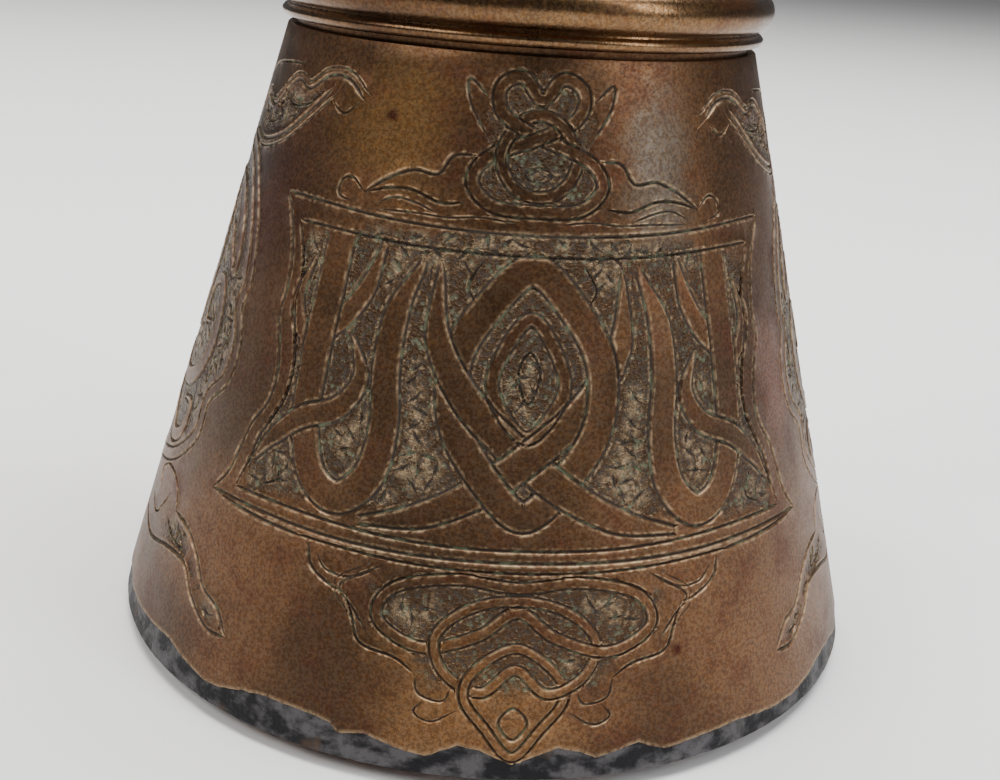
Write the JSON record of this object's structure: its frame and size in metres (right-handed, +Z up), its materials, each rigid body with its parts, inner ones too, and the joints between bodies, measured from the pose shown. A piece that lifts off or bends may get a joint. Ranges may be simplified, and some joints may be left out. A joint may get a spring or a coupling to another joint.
{
  "type": "dallah coffee pot",
  "caption": "Raised-metal coffee pot with a conical lower body, moulded waist ring, flared upper body, open beak spout, riveted handle and a hinged domed lid with a spire.",
  "frame": {"origin": "centre of the base plate's underside, where the pot stands", "axes": "+Z up along the pot's axis, -X towards the spout, +X towards the handle and the lid's hinge"},
  "size_m": [0.2416, 0.1472, 0.2937],
  "materials": {
    "brass_sheet": "aged, engraved and darkened in the cuts",
    "brass_cast": "aged, polished by handling",
    "rivet": "dull",
    "copper": "darkened copper",
    "solder": "dull grey tin solder"
  },
  "bodies": {
    "pot": {"base_pan": "copper", "seam_solder": "solder", "lower_body": "brass_sheet", "waist_ring": "brass_cast", "upper_body": "brass_sheet", "rim_wire": "brass_cast", "spout_flange": "brass_sheet", "spout_shell": "brass_sheet", "spout_rivets": "rivet", "handle_upper_mount": "brass_cast", "handle_lower_mount": "brass_cast", "handle_rivets": "rivet", "handle_grip": "brass_cast", "handle_pins": "rivet", "hinge_bracket": "brass_cast", "bracket_rivets": "rivet", "hinge_pin": "rivet"},
    "lid": {"lid_tongue": "brass_cast", "tongue_rivets": "rivet", "thumb_piece": "brass_cast", "lid_shell": "brass_sheet", "lid_skirt": "brass_sheet", "lid_moulding": "brass_cast", "finial_collar": "brass_cast", "finial_baluster": "brass_cast", "finial_bud": "brass_cast", "finial_tang": "rivet", "finial_washer": "copper"}
  },
  "joints": [
    {"name": "lid_hinge", "type": "hinge", "parent": "pot", "child": "lid", "pos_m": [0.061, 0, 0.2107], "axis": [0, 1, 0], "range_deg": [0, 105]}
  ]
}
